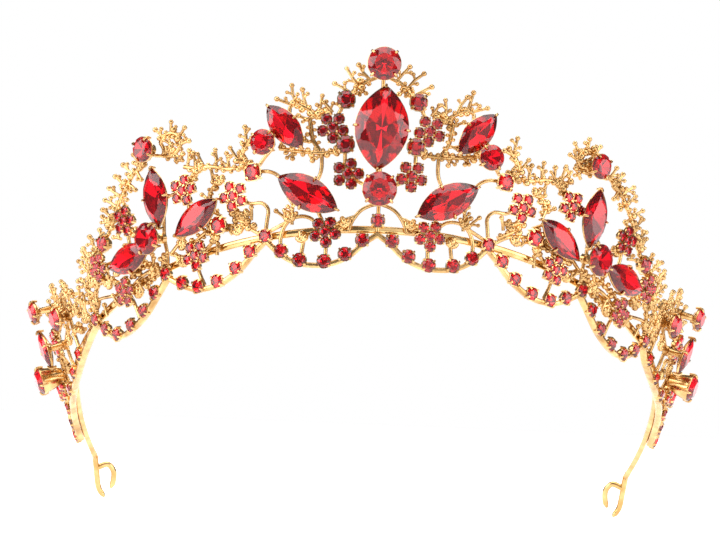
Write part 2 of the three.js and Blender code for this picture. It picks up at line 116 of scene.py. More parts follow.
last = math.pi / 2 + math.asin((END_DEPTH - FRONT_DEPTH) / BACK_DEPTH)
psi = np.linspace(0, last, TRACK_POINTS)
depth = np.where(psi < math.pi / 2, FRONT_DEPTH, BACK_DEPTH)
track = np.stack([HALF_WIDTH * np.sin(psi), FRONT_DEPTH - depth * np.cos(psi)], 1)
steps = np.diff(track, axis=0)
lengths = np.concatenate([[0], np.cumsum(np.hypot(*steps.T))])
headings = np.gradient(track, lengths, axis=0)
BAND_END = lengths[-1]


def raw_place(u, v=0.0, w=0.0, flare=FLARE):
    side = -1 if u < 0 else 1
    x, y = (np.interp(abs(u), lengths, track[:, k]) for k in (0, 1))
    across, back = (np.interp(abs(u), lengths, headings[:, k]) for k in (0, 1))
    along = SIDEWAYS * across + BACKWARD * side * back
    outward = SIDEWAYS * side * back - BACKWARD * across
    rise = UPWARD * math.cos(flare) + outward * math.sin(flare)
    out = outward * math.cos(flare) - UPWARD * math.sin(flare)
    spot = SIDEWAYS * side * x + BACKWARD * y + rise * v + out * w
    return spot, along, rise, out


facet_corners = [raw_place(u, v, 0, TILT)[0] for u in (-FACET, FACET) for v in (-1, 1)]
ORIGIN = np.mean(facet_corners, axis=0)


def place(u, v=0.0, w=0.0, flare=FLARE):
    """The point at (u, v, w) in metres, and the directions along, up and out."""
    spot, along, rise, out = raw_place(u, v, w, flare)
    return Vector((spot - ORIGIN) * MM), Vector(along), Vector(rise), Vector(out)


SLIP_FROM = 89
SLIP_OVER = 10
SLIP_BY = 5


def crest(u, v=0.0, w=0.0):
    """A place on the crest. Both side castings sit further round to the wearer's right."""
    share = min(1.0, max(0.0, (abs(u) - SLIP_FROM) / SLIP_OVER))
    return place(u - SLIP_BY * share, v, w)


print("band half length", round(BAND_END, 1), "mm")

# %% [markdown]
# ## Node trees written as expressions
# Materials and geometry trees are both graphs of small nodes. Wiring them one by one takes
# pages, so one class wraps an output socket and lets Python's own operators add the Math
# nodes. Everything else goes through one method that takes a node's type and its values.

# %% Graph and Socket


class Socket:
    """An output that Python's operators can use. Each operator adds one Math node."""

    def __init__(self, graph, out):
        self.graph = graph
        self.out = out

    def maths(self, operation, *values):
        return self.graph.node("ShaderNodeMath", {"operation": operation}, *values)

    def pick(self, name):
        return Socket(self.graph, self.out.node.outputs[name])

    def __add__(self, other):
        return self.maths("ADD", self, other)

    def __radd__(self, other):
        return self.maths("ADD", other, self)

    def __mul__(self, other):
        return self.maths("MULTIPLY", self, other)

    def __rmul__(self, other):
        return self.maths("MULTIPLY", other, self)


class Graph:
    """A node tree that is filled by calling node()."""

    def __init__(self, tree):
        self.tree = tree
        tree.nodes.clear()

    def node(self, kind, settings=None, *values, **named):
        made = self.tree.nodes.new(kind)
        for name, value in (settings or {}).items():
            if name == "stops":
                self.stops(made.color_ramp, value)
            else:
                setattr(made, name, value)
        for key, value in [*enumerate(values), *named.items()]:
            socket = made.inputs[key if isinstance(key, int) else key.replace("_", " ")]
            if isinstance(value, Socket):
                self.tree.links.new(value.out, socket)
            else:
                socket.default_value = value
        return Socket(self, next(o for o in made.outputs if o.enabled)) if made.outputs else made

    def stops(self, ramp, stops):
        for k, (position, colour) in enumerate(stops):
            stop = ramp.elements[k] if k < len(ramp.elements) else ramp.elements.new(position)
            stop.position = position
            stop.color = colour

    def noise(self, scale, detail=3.0, where=None):
        where = where or self.node("ShaderNodeTexCoord").pick("Object")
        return self.node("ShaderNodeTexNoise", {}, Vector=where, Scale=scale, Detail=detail)

    def mix(self, share, first, second):
        """Colours first and second, blended by share."""
        node = self.node("ShaderNodeMix", {"data_type": "RGBA"}, share).out.node
        node.inputs[6].default_value = first
        node.inputs[7].default_value = second
        return Socket(self, node.outputs[2])


def material(name, build):
    """A new material whose surface is what build(graph) returns."""
    made = bpy.data.materials.new(name)
    made.use_nodes = True
    graph = Graph(made.node_tree)
    graph.node("ShaderNodeOutputMaterial", {}, Surface=build(graph))
    return made


# %% [markdown]
# ## Three gold finishes
# The tiara is cast in a zinc alloy and plated. The plating is the same everywhere, but the
# band is polished, the twigs keep a little of the casting's skin, and the cups are pressed
# from thin sheet. A metal's look is nearly all reflection, so the colour changes little and
# the roughness and the fine bump do the work. Noise at two scales gives both.

# %% Gold
TONE_SCALE = 260.0
SKIN_HEIGHT = 0.0001


def gold(name, bright, deep, rough, spread, grain, bump):
    """A plated gold of two tones. grain and bump are its skin's scale and strength."""

    def build(graph):
        cloud = graph.noise(TONE_SCALE)
        skin = graph.noise(grain, 5.0)
        stops = [(0.35, (0, 0, 0, 1)), (0.68, (1, 1, 1, 1))]
        tone = graph.node("ShaderNodeValToRGB", {"stops": stops}, cloud)
        relief = graph.node("ShaderNodeBump", {}, Strength=bump, Distance=SKIN_HEIGHT, Height=skin)
        return graph.node(
            "ShaderNodeBsdfPrincipled",
            {},
            Base_Color=graph.mix(tone, deep, bright),
            Metallic=1.0,
            Roughness=rough + spread * skin,
            Normal=relief,
        )

    return material(name, build)


polished_gold = gold("polished_gold", (0.84, 0.56, 0.25, 1), (0.60, 0.36, 0.13, 1), 0.05, 0.14, 1400.0, 0.08)
cast_gold = gold("cast_gold", (0.90, 0.59, 0.26, 1), (0.48, 0.27, 0.10, 1), 0.08, 0.22, 2600.0, 0.5)
cup_gold = gold("cup_gold", (0.84, 0.55, 0.25, 1), (0.50, 0.29, 0.11, 1), 0.07, 0.18, 1800.0, 0.2)
print("gold finishes", [m.name for m in (polished_gold, cast_gold, cup_gold)])

# %% [markdown]
# ## Red glass on foil
# A glass stone in a closed cup has a mirror coating on its back. Light goes in through the
# crown, bounces between the back facets and comes out red, so some facets flash and their
# neighbours are nearly black. Painting that pattern on would look wrong from any other
# angle. Here the crown is real refracting glass and the back facets are red metal, and the
# renderer traces the bounces.

# %% Glass and foil


def glass_surface(graph):
    cloud = graph.noise(500.0)
    return graph.node(
        "ShaderNodeBsdfPrincipled",
        {},
        Base_Color=graph.mix(cloud, (0.74, 0.010, 0.045, 1), (0.88, 0.025, 0.075, 1)),
        Roughness=0.02 * cloud,
        IOR=1.6,
        Transmission_Weight=1.0,
    )


def foil_surface(graph):
    cloud = graph.noise(700.0)
    return graph.node(
        "ShaderNodeBsdfPrincipled",
        {},
        Base_Color=graph.mix(cloud, (0.80, 0.10, 0.16, 1), (0.94, 0.18, 0.24, 1)),
        Metallic=0.85,
        Roughness=0.03 + 0.06 * cloud,
    )


red_glass = material("red_glass", glass_surface)
red_foil = material("red_foil", foil_surface)
print("stone finishes", [m.name for m in (red_glass, red_foil)])

# %% [markdown]
# ## Small mesh helpers
# Every solid below is a loft: rings of points joined side by side and closed at both ends.
# A loft is easy to aim along a path, and it leaves no open edge. Doubles are merged and the
# normals recalculated, so that each face points outwards.

# %% Lofts


def finished(bm, name, finishes, smooth=None):
    """A mesh object from bm. smooth is the widest angle, in degrees, that stays soft."""
    bmesh.ops.remove_doubles(bm, verts=bm.verts, dist=1e-7)
    bmesh.ops.recalc_face_normals(bm, faces=bm.faces)
    mesh = bpy.data.meshes.new(name)
    bm.to_mesh(mesh)
    bm.free()
    for finish in finishes:
        mesh.materials.append(finish)
    if smooth is not None:
        mesh.polygons.foreach_set("use_smooth", [True] * len(mesh.polygons))
        mesh.set_sharp_from_angle(angle=math.radians(smooth))
    made = bpy.data.objects.new(name, mesh)
    bpy.context.scene.collection.objects.link(made)
    return made


def loft(bm, rings):
    """Joins rings of points into a closed skin in bm."""
    rows = [[bm.verts.new(p) for p in ring] for ring in rings]
    for low, high in zip(rows, rows[1:]):
        for k, corner in enumerate(low):
            after = (k + 1) % len(low)
            bm.faces.new((corner, low[after], high[after], high[k]))
    bm.faces.new(rows[0][::-1])
    bm.faces.new(rows[-1])


def smooth_path(places, gap):
    """A Catmull-Rom curve through flat places, as points about gap apart."""
    spots = np.array(places, float)
    padded = np.vstack([2 * spots[0] - spots[1], spots, 2 * spots[-1] - spots[-2]])
    path = []
    for p0, p1, p2, p3 in zip(padded, padded[1:], padded[2:], padded[3:]):
        count = max(1, round(float(np.linalg.norm(p2 - p1)) / gap))
        for t in np.arange(count) / count:
            path.append(
                0.5 * (2 * p1 + (p2 - p0) * t + (2 * p0 - 5 * p1 + 4 * p2 - p3) * t**2
                       + (3 * p1 - p0 - 3 * p2 + p3) * t**3)
            )
    return np.array([*path, spots[-1]])


def rounded_section(width, depth, corner):
    """A flat bar's section as (across, out) points, with three points at each corner."""
    section = []
    for sx, sy, start in ((1, 1, 0), (-1, 1, 90), (-1, -1, 180), (1, -1, 270)):
        for turn in (0, 45, 90):
            angle = math.radians(start + turn)
            section.append((
                sx * (width / 2 - corner) + corner * math.cos(angle),
                sy * (depth / 2 - corner) + corner * math.sin(angle),
            ))
    return section


# %% [markdown]
# ## The base band and its hooks
# The band is one strip of polished sheet that follows the head, and each end is bent into a
# hook for a hairpin. A path with a fixed section is a sweep. The section has round corners,
# because a bright edge line is what shows that a strip is metal and not card.

# %% Base band
EDGE_CORNER = 0.35


def band_ring(u):
    spot, _, rise, out = place(u, 0, BAND_THICK / 2, TILT)
    section = rounded_section(BAND_HEIGHT, BAND_THICK, EDGE_CORNER)
    return [spot + rise * (a * MM) + out * (b * MM) for a, b in section]


def round_wire(bm, spots, radii, reference, sides=10):
    """A round wire through points in space, in millimetres, closed with small domes."""
    spots = [Vector(p) for p in spots]
    rings = []
    for k, spot in enumerate(spots):
        ahead = (spots[min(k + 1, len(spots) - 1)] - spots[max(k - 1, 0)]).normalized()
        across = ahead.cross(reference).normalized()
        upward = across.cross(ahead)
        turns = [2 * math.pi * n / sides for n in range(sides)]
        rings.append([
            spot + (across * math.cos(t) + upward * math.sin(t)) * (radii[k] * MM) for t in turns
        ])
    loft(bm, rings)


# %% Hooks
def hook_wires(bm, sign):
    """A strand that carries the band on, and the arm that is bent back beside it."""
    end = place(sign * BAND_END, 0, BAND_THICK / 2, TILT)[0]
    strand = [(-0.4, -2, -1), (0, 0.6, 0.6), (0.4, 3.6, 4.6), (1.0, 5.2, 8.6), (2.6, 5.6, 11)]
    arm = [(0.4, 2.6, 3.2), (3.2, 3.0, 2.2), (4.8, 3.8, 4), (4.8, 4.6, 6.6), (4.2, 5.2, 8.6)]
    for bend in (strand, arm):
        path = smooth_path(bend, 0.5)
        spots = [end + Vector((-sign * x, y, -z)) * MM for x, y, z in path]
        radii = np.interp(np.arange(len(path)), [0, len(path) - 3, len(path) - 1], [0.8, 0.74, 0.3])
        round_wire(bm, spots, radii, Vector((0, 1, 0)))


bm = bmesh.new()
loft(bm, [band_ring(u) for u in np.arange(-BAND_END, BAND_END + 0.5, BAND_END / 110)])
hook_wires(bm, 1)
hook_wires(bm, -1)
band = finished(bm, "polished_band", [polished_gold], 50)
print("band faces", len(band.data.polygons))

# %% [markdown]
# ## Two geometry trees
# The openwork has hundreds of wires, beads and small settings. Geometry Nodes repeat them
# from a plain list of points, and each tree is small:
# - wires: a line becomes a curve, and a circle is swept along it at the line's thickness.
# - studs: a template object is copied to each point, turned to face out of the crest.
# Both end in Realize Instances and Set Material, so that the result is a plain mesh.

# %% Geometry trees


def geometry_tree(name, inputs, build):
    """A Geometry Nodes tree with named inputs. build(graph, source) returns its result."""
    tree = bpy.data.node_groups.new(name, "GeometryNodeTree")
    tree.interface.new_socket("Geometry", in_out="INPUT", socket_type="NodeSocketGeometry")
    for label, kind in inputs.items():
        tree.interface.new_socket(label, in_out="INPUT", socket_type=kind)
    tree.interface.new_socket("Geometry", in_out="OUTPUT", socket_type="NodeSocketGeometry")
    graph = Graph(tree)
    result = build(graph, graph.node("NodeGroupInput"))
    graph.node("NodeGroupOutput", {}, result)
    return tree


def attribute(graph, name, kind):
    return graph.node("GeometryNodeInputNamedAttribute", {"data_type": kind}, name)


def build_wires(graph, source):
    curve = graph.node("GeometryNodeMeshToCurve", {}, source)
    circle = graph.node("GeometryNodeCurvePrimitiveCircle", {}, source.pick("Sides"))
    circle.out.node.inputs["Radius"].default_value = 1.0
    thickness = attribute(graph, "thickness", "FLOAT")
    tube = graph.node(
        "GeometryNodeCurveToMesh", {}, Curve=curve, Profile_Curve=circle, Scale=thickness, Fill_Caps=True
    )
    soft = graph.node("GeometryNodeSetShadeSmooth", {}, tube)
    real = graph.node("GeometryNodeRealizeInstances", {}, soft)
    return graph.node("GeometryNodeSetMaterial", {}, Geometry=real, Material=source.pick("Finish"))


def build_studs(graph, source):
    points = graph.node("GeometryNodeMeshToPoints", {}, source)
    template = graph.node("GeometryNodeObjectInfo", {}, source.pick("Template")).pick("Geometry")
    facing = attribute(graph, "facing", "FLOAT_VECTOR")
    along = attribute(graph, "along", "FLOAT_VECTOR")
    axes = {"primary_axis": "Z", "secondary_axis": "X"}
    turned = graph.node("FunctionNodeAxesToRotation", axes, facing, along)
    size = attribute(graph, "size", "FLOAT_VECTOR")
    copies = graph.node(
        "GeometryNodeInstanceOnPoints", {}, Points=points, Instance=template, Rotation=turned, Scale=size
    )
    real = graph.node("GeometryNodeRealizeInstances", {}, copies)
    finish = graph.node("GeometryNodeSetMaterial", {}, Geometry=real, Material=source.pick("Finish"))
    back = attribute(graph, "foil", "BOOLEAN")
    return graph.node(
        "GeometryNodeSetMaterial", {}, Geometry=finish, Selection=back, Material=source.pick("Back")
    )


wires_tree = geometry_tree(
    "wires", {"Sides": "NodeSocketInt", "Finish": "NodeSocketMaterial"}, build_wires
)
studs_tree = geometry_tree(
    "studs",
    {"Template": "NodeSocketObject", "Finish": "NodeSocketMaterial", "Back": "NodeSocketMaterial"},
    build_studs,
)
print("trees", [(tree.name, len(tree.nodes)) for tree in (wires_tree, studs_tree)])

# %% Baking a tree


def baked(name, mesh, tree, values):
    """The plain object that a tree makes from mesh."""
    made = bpy.data.objects.new(name, mesh)
    bpy.context.scene.collection.objects.link(made)
    grow = made.modifiers.new("grow", "NODES")
    grow.node_group = tree
    for item in tree.interface.items_tree:
        if item.in_out == "INPUT" and item.name in values:
            grow[item.identifier] = values[item.name]
    depsgraph = bpy.context.evaluated_depsgraph_get()
    result = bpy.data.meshes.new_from_object(made.evaluated_get(depsgraph), depsgraph=depsgraph)
    made.modifiers.clear()
    made.data = result
    return made


def wires_object(name, wires, finish, sides=7):
    """wires is a list of (points in metres, radii in millimetres)."""
    mesh = bpy.data.meshes.new(name)
    spots = [p for points, _ in wires for p in points]
    edges = []
    start = 0
    for points, _ in wires:
        edges += [(start + k, start + k + 1) for k in range(len(points) - 1)]
        start += len(points)
    mesh.from_pydata(spots, edges, [])
    radii = mesh.attributes.new("thickness", "FLOAT", "POINT")
    radii.data.foreach_set("value", [r * MM for _, values in wires for r in values])
    return baked(name, mesh, wires_tree, {"Sides": sides, "Finish": finish})


def studs_object(name, studs, template, finish, back=None):
    """studs is a list of (point, facing, along, size in millimetres as a triple)."""
    mesh = bpy.data.meshes.new(name)
    mesh.from_pydata([s[0] for s in studs], [], [])
    for label, k, scale in (("facing", 1, 1), ("along", 2, 1), ("size", 3, MM)):
        layer = mesh.attributes.new(label, "FLOAT_VECTOR", "POINT")
        layer.data.foreach_set("vector", [n * scale for s in studs for n in s[k]])
    values = {"Template": template, "Finish": finish, "Back": back or finish}
    return baked(name, mesh, studs_tree, values)


# %% [markdown]
# ## Three templates
# A shape that is repeated hundreds of times must be light. The bead is a ball of 48 faces,
# the collet is a thin ring with four claws, and the small stone is a plain eight-sided cut
# with a table on top and a point behind.

# %% Templates
SMALL_SIDES = 8


def circle(radius, sides, z, start=0.5):
    turns = [2 * math.pi * (k + start) / sides for k in range(sides)]
    return [Vector((radius * math.cos(t), radius * math.sin(t), z)) for t in turns]


def bead_template():
    bm = bmesh.new()
    bmesh.ops.create_uvsphere(bm, u_segments=8, v_segments=6, radius=1)
    return finished(bm, "bead_template", [cast_gold], 80)


def collet_template():
    """A ring of outer radius 1 with its foot at z = 0 and four claws over its edge."""
    bm = bmesh.new()
    rows = [(0.62, 0.0), (1.0, 0.55), (1.0, 0.95), (0.86, 0.95), (0.8, 0.5)]
    loft(bm, [circle(radius, 12, z) for radius, z in rows])
    for angle in (45, 135, 225, 315):
        turn = Matrix.Rotation(math.radians(angle), 3, "Z")
        rings = []
        for x, z, half in ((1.02, 0.35, 0.15), (1.04, 1.05, 0.15), (0.8, 1.26, 0.12)):
            corners = [(x - 0.1, -half, z), (x + 0.08, -half, z), (x + 0.08, half, z), (x - 0.1, half, z)]
            rings.append([turn @ Vector(c) for c in corners])
        loft(bm, rings)
    return finished(bm, "collet_template", [cup_gold], 35)


def small_stone_template():
    """A stone of radius 1 with its girdle at z = 0. Its back faces are marked as foil."""
    bm = bmesh.new()
    rings = [
        circle(0.56, SMALL_SIDES, 0.36),
        circle(0.82, SMALL_SIDES, 0.22, 0.0),
        circle(1.0, SMALL_SIDES, 0.03),
        circle(1.0, SMALL_SIDES, -0.03),
        circle(0.1, SMALL_SIDES, -0.62),
    ]
    for ring in rings:
        for p in ring:
            bm.verts.new(p)
    bmesh.ops.convex_hull(bm, input=bm.verts)
    bmesh.ops.dissolve_limit(bm, angle_limit=0.02, verts=bm.verts, edges=bm.edges)
    mark = bm.faces.layers.bool.new("foil")
    bm.normal_update()
    for face in bm.faces:
        face[mark] = face.normal.z < -0.1
    return finished(bm, "small_stone_template", [red_glass, red_foil])


bead = bead_template()
collet = collet_template()
small_stone = small_stone_template()
for template in (bead, collet, small_stone):
    print(template.name, len(template.data.polygons), "faces")

# %% [markdown]
# ## The tables
# Each list holds places on the crest in millimetres, for the wearer's left. The right side
# takes the same lists with u turned round. The halves still differ, as handwork does: the
# side castings slip along the band, and each large stone may have a lean. The twigs are the
# crest's character: a stalk with short side shoots, each ending in a bright ball. Leaves
# fill the places where wires meet.

# %% Stones and their cups


# lean is how far hand soldering moved a stone: (towards the wearer's right, up on that side
# and down on the left).
def round_stone(name, u, v, width, rise, lean=(0, 0), cone=False):
    return {"name": name, "round": True, "u": u, "v": v, "length": width, "width": width,
            "angle": 90, "rise": rise, "lean": lean, "cone": cone}


def navette(name, u, v, length, width, angle, rise=0.0, lean=(0, 0)):
    return {"name": name, "round": False, "u": u, "v": v, "length": length, "width": width,
            "angle": angle, "rise": rise, "lean": lean, "cone": False}


CENTRE_STONES = [
    round_stone("crown_round", 0, 38.4, 7.8, 3.0),
    navette("centre_drop", 0, 23.4, 20.0, 12.6, 86),
    round_stone("lower_round", 0, 8.8, 8, 3.0),
]
SIDE_STONES = [
    navette("inner_navette", 14.7, 8.1, 16.4, 7.8, 33, lean=(0.2, 0.4)),
    navette("crest_navette", 18.7, 24.8, 13.2, 6.6, 55),
    round_stone("crest_round", 22.2, 20.6, 6, 2.6, lean=(0.6, 0.9)),
    round_stone("peak_round", 49.2, 27.6, 6, 0.8, lean=(1.8, 0.6)),
    navette("peak_navette", 50.6, 15.4, 14.4, 7.4, 98, lean=(0.4, 0.6)),
    navette("fan_navette_inner", 42.2, 7.2, 14.6, 6.4, -21, lean=(-0.7, 0.7)),
    navette("fan_navette_outer", 64.9, 5.7, 15.6, 6.8, 3, lean=(-1.1, -0.3)),
    round_stone("fan_round", 53.5, 6.2, 7.6, 2.8, lean=(0.4, 0.6)),
    round_stone("side_round_low", 98.4, 7.7, 6, 1.2),
    round_stone("side_round_high", 106.2, 14.5, 5.4, 3.4),
    navette("side_navette", 108.0, 4.8, 10.0, 4.8, 90, 3.4),
    round_stone("flank_round", 121.4, 3.2, 6.8, 3.8, cone=True),
]

# %% Rails, small stones and flowers
CENTRE_RAILS = [
    [(0, -0.4), (3.4, -2.8), (7.4, -6.1), (12.4, -7.6), (18.3, -6.8), (22.6, -4.1), (25.6, -0.4)],
]
FRONT_RAILS = [
    [(26.2, 0), (30.3, -2.9), (34.7, -6.0), (40.4, -7.9), (46.2, -7.6), (50.8, -5.3), (55.2, -1.6)],
    [(55.2, -1.6), (60.6, -4.6), (66.1, -7.2), (72.6, -8.5), (79.5, -8.0), (84.2, -4.6), (87.6, -0.6)],
]
SIDE_RAILS = [
    [(89.0, -0.8), (98.4, -2.6), (107.8, -3.2), (118.6, -2.4), (128, -1), (140, 0), (152, 0)],
]
CENTRE_SMALL = [(3.4, -2.8), (7.4, -6.1), (12.4, -7.6), (18.3, -6.8), (22.6, -4.1)]
FRONT_SMALL = [
    (26.0, 0), (30.3, -2.9), (34.7, -6.0), (40.4, -7.9), (46.2, -7.6), (50.8, -5.3), (55.2, -1.6),
    (60.6, -4.6), (66.1, -7.2), (72.6, -8.5), (79.5, -8.0), (84.2, -4.6), (87.4, -0.6),
]
SIDE_SMALL = [(99.0, -2.4), (108.4, -3.0), (119.0, -2.4), (136.4, 0.9), (144, 0.4), (151.4, 0.2)]
CENTRE_MEDIUM = [(6.8, 30.4), (7.0, 19.8)]
FRONT_MEDIUM = [(26.8, 15.4), (36.8, 4.8), (72.9, 13.2)]
SIDE_MEDIUM = [(130.8, 3.2)]
CENTRE_FLOWERS = [(9.5, 23.9), (6.6, 12.8), (11.8, -0.7)]
FRONT_FLOWERS = [(32.1, 10.8), (44.4, 15.6), (44.7, -0.4), (63.6, 15.0), (78.0, 9.2), (70.4, -0.7)]
SIDE_FLOWERS = [(113.8, 8.4), (126.4, 2.4)]

# %% The centre casting's wires, branches and twigs
SPINE_WIRES = [
    [(0, -1.0), (0, 5), (0, 20), (0, 38.2)],
    [(-6.6, -0.6), (-5.6, 2.0), (-3.4, 4.6), (0, 5.8), (3.4, 4.6), (5.6, 2.0), (6.6, -0.6)],
]
CENTRE_WIRES = [
    [(0, 36.5), (3.8, 34.2), (6.8, 30.4), (9.5, 23.9), (7.4, 19.6), (6.6, 12.8), (0, 8.8)],
    [(12, 18.4), (12.4, 13.6), (14.7, 8.1), (13.2, 3.8), (11.8, -0.7), (12.2, -7.4)],
    [(20.4, 12.0), (22.0, 14.1), (24.0, 15.2), (26.0, 15.4)],
    [(22.2, 20.6), (24.4, 18.4), (26.4, 16.0)],
    [(11.8, -0.7), (15.4, 3.0), (18.8, 3.4), (21.2, 1.8), (22.6, -1.2), (22.6, -4.1)],
    [(4.8, 2.9), (8.4, 1.6), (11.8, -0.7)],
    [(6.6, -0.6), (9.6, -0.6), (11.8, -0.7)],
    [(18.8, 3.4), (21.6, 2.2), (25.4, 0.8)],
    [(20.9, 20.2), (18.7, 24.8), (18.0, 29.8)],
    [(17.2, -2.6), (17.8, -5.0), (18.3, -6.8)],
]
CENTRE_BRANCHES = [
    [(20.9, 20.2), (16.6, 18.9), (12.6, 18.2), (9.4, 18.2)],
    [(10.2, 28.9), (13.8, 27.0), (14.0, 24.4), (13.7, 21.2), (12.4, 18.7)],
    [(2.4, 35.4), (4.4, 33.8), (6.0, 32.0)],
    [(10.0, 28.2), (12.2, 27.2), (14.4, 28.8), (16.4, 30.2), (18.0, 29.8)],
    [(11.6, -0.7), (9.2, 0.4), (7.4, 0.2)],
]
CENTRE_TWIGS = [
    (2.6, 35.4, 58, 4.0), (4.6, 33.6, 66, 4.8), (6.4, 32.4, 40, 3.4), (5.6, 31.2, 105, 2.6),
    (12.4, 27.4, 98, 4.4), (14.6, 29.0, 84, 4.6), (16.6, 30.2, 78, 4.6), (17.6, 30.2, 30, 3.2),
    (13.8, 25.8, 30, 3.0), (19.6, 1.8, 96, 7.6), (20.6, 2.8, 62, 3.6), (14.0, 21.0, 10, 2.4),
    (9.6, 27.6, 60, 3.0), (8.0, 27.8, 100, 2.6), (14.6, 18.4, 250, 2.0), (18.2, 19.2, 265, 1.8),
    (18.4, 3.4, 40, 3.0), (4.6, 33.4, 215, 2.0),
]

# %% The front castings' wires, branches and twigs
FRONT_WIRES = [
    [(26.2, 0.4), (25.4, 3.4), (24.8, 6.2), (26.2, 8.0), (29.0, 8.4), (32.1, 10.8)],
    [(36.8, 4.8), (40, 1.6), (44.7, -0.4), (49.0, 0.6), (52.6, 2.4)],
    [(36.8, 4.8), (31.4, 3.4), (26.6, 0)],
    [(44.7, -0.4), (45.4, -4), (44.6, -7.8)],
    [(36.8, 4.8), (42.2, 7.2), (47.6, 5.0), (52.6, 2.4)],
    [(44.4, 15.6), (50.4, 15.4), (52.6, 10), (53.5, 6.2), (53.8, 2.4), (55.2, -1.6)],
    [(55.6, 11.2), (58.6, 9.2), (61.4, 8.2), (64.9, 5.7)],
    [(53.5, 6.2), (58.8, 6.8), (64.9, 5.7), (71.0, 7.8), (78.0, 9.2)],
    [(70.4, -0.7), (65.0, 0.6), (59.4, 0.8), (55.2, -1.6)],
    [(70.4, -0.7), (69.4, -4.2), (69.0, -8.0)],
    [(70.4, -0.7), (76.2, 0.8), (82.0, 2.6), (85.6, 3.2)],
    [(63.6, 15.0), (65.0, 10.4), (64.9, 5.7)],
    [(48.4, 28.8), (47.9, 27.2), (48.6, 25.8), (51.4, 27.0)],
]
FRONT_BRANCHES = [
    [(26.8, 15.4), (29.4, 17.2), (33.0, 17.6), (36.8, 19.2), (40.8, 20.0), (43.6, 21.2)],
    [(29.0, 16.4), (29.9, 19.0), (28.6, 21.7), (27.6, 23.6)],
    [(51.4, 27.0), (55.2, 25.8), (58.8, 24.2), (62.6, 21.8), (65.6, 19.6), (68.2, 17.2), (72.0, 14.8)],
    [(73.6, 12.8), (78.2, 12.8), (82.4, 11.2), (86.2, 8.8), (88.0, 4.4), (87.2, 0.0)],
    [(48.6, 25.8), (46.4, 24.8), (43.8, 26.0), (43.2, 28.2), (44.6, 30.0), (47.0, 30.2), (48.4, 28.8)],
    [(32.0, 8.0), (33.2, 6.0), (31.0, 4.2), (28.2, 2.2)],
    [(38.0, 2.6), (40.4, 4.4), (44.0, 3.2), (47.4, 1.4)],
    [(80.2, 7.2), (83.8, 5.2), (87.0, 0.8)],
    [(56.6, -0.2), (60.4, 2.6), (64.2, 2.4), (68.0, 2.0)],
    [(73.4, 3.0), (76.2, 5.2), (79.2, 4.8)],
    [(53.4, 3.4), (55.6, 0.8), (59.6, -0.8), (63.8, -1.8)],
    [(40.2, 20.0), (41.4, 17.8), (42.8, 17.4)],
    [(36.4, 15.0), (38.4, 13.0), (38.2, 10.4)],
]
FRONT_TWIGS = [
    (29.2, 20.2, 128, 4.4), (29.6, 18.4, 60, 4.4), (28.0, 22.8, 92, 3.8), (28.4, 21.8, 150, 3.0),
    (32.6, 17.4, 92, 4.0), (35.8, 18.8, 98, 4.2), (38.6, 19.6, 82, 3.4), (40.8, 20.0, 104, 3.6),
    (42.6, 21.4, 118, 3.4), (43.4, 26.8, 170, 2.4), (43.4, 28.6, 140, 2.6), (45.2, 30.0, 105, 2.8),
    (47.4, 30.0, 70, 2.6), (45.4, 25.4, 230, 2.4), (45.4, 22.8, 150, 3.0), (45.6, 27.4, 60, 2.0),
    (37.0, 18.4, 275, 2.8), (53.0, 26.4, 78, 3.0), (55.4, 25.6, 66, 3.8), (58.2, 24.4, 60, 4.0),
    (60.8, 22.8, 58, 4.2), (63.4, 21.2, 54, 4.2), (65.8, 19.4, 52, 4.2), (68.2, 17.4, 52, 4.4),
    (70.4, 16.0, 58, 4.0), (56.8, 25.0, 250, 2.8), (60.2, 23.2, 235, 2.6), (63.8, 20.8, 215, 2.2),
    (74.6, 12.8, 82, 4.8), (77.8, 12.8, 72, 5.4), (81.2, 11.8, 66, 5.4), (84.4, 10.2, 62, 5.6),
    (87.0, 7.6, 50, 5.4), (88.0, 4.0, 44, 4.8),
    (84.2, 9.0, 98, 7.4), (36.4, 7.0, 35, 3.0), (33.6, 5.6, 190, 2.4), (29.2, 4.4, 110, 3.0),
    (40.0, 4.2, 80, 2.2), (47.6, 3.2, 60, 2.6), (58.8, 1.4, 100, 3.0), (61.2, 2.6, 70, 2.6),
    (76.0, 5.0, 75, 2.8), (81.8, 6.4, 65, 3.6), (84.4, 4.6, 44, 3.6), (50.2, -1.0, 60, 3.0),
    (39.4, -1.8, 100, 2.8), (64.8, -2.8, 95, 2.6), (75.4, -2.4, 75, 3.2), (82.4, -2.0, 80, 3.0),
    (34.4, 2.0, 60, 2.6), (38.6, 11.6, 40, 2.4), (67.6, 12.0, 30, 2.6), (70.4, 4.8, 95, 2.6),
]

# %% The side castings' wires, branches and twigs
SIDE_WIRES = [
    [(98.4, 7.7), (103.2, 6.4), (108.0, 4.8), (108.8, 0), (108.4, -3)],
    [(113.8, 8.4), (110.6, 6.6), (108.0, 4.8)],
    [(121.4, 3.2), (119.6, -2.2)],
    [(98.4, 7.7), (99.0, 2.6), (99.0, -2.4)],
    [(126.4, 2.4), (122, 0.4), (119.0, -2.4)],
]
SIDE_BRANCHES = [
    [(90.2, -0.8), (92.8, 4.4), (96.6, 8.1), (100.4, 11.4), (103.7, 13.6), (106.2, 14.5)],
    [(106.2, 14.5), (110.6, 12.2), (113.8, 8.4), (117.4, 5.2), (121.4, 3.2), (126.4, 2.4), (130.8, 3.2)],
    [(130.8, 3.2), (136.4, 1.8), (144, 1.0), (151, 0.6)],
    [(92.6, 9.6), (96.0, 12.6), (100.4, 13.8)],
    [(93.6, 0.6), (96.6, 3.4), (99.2, 3.2)],
]
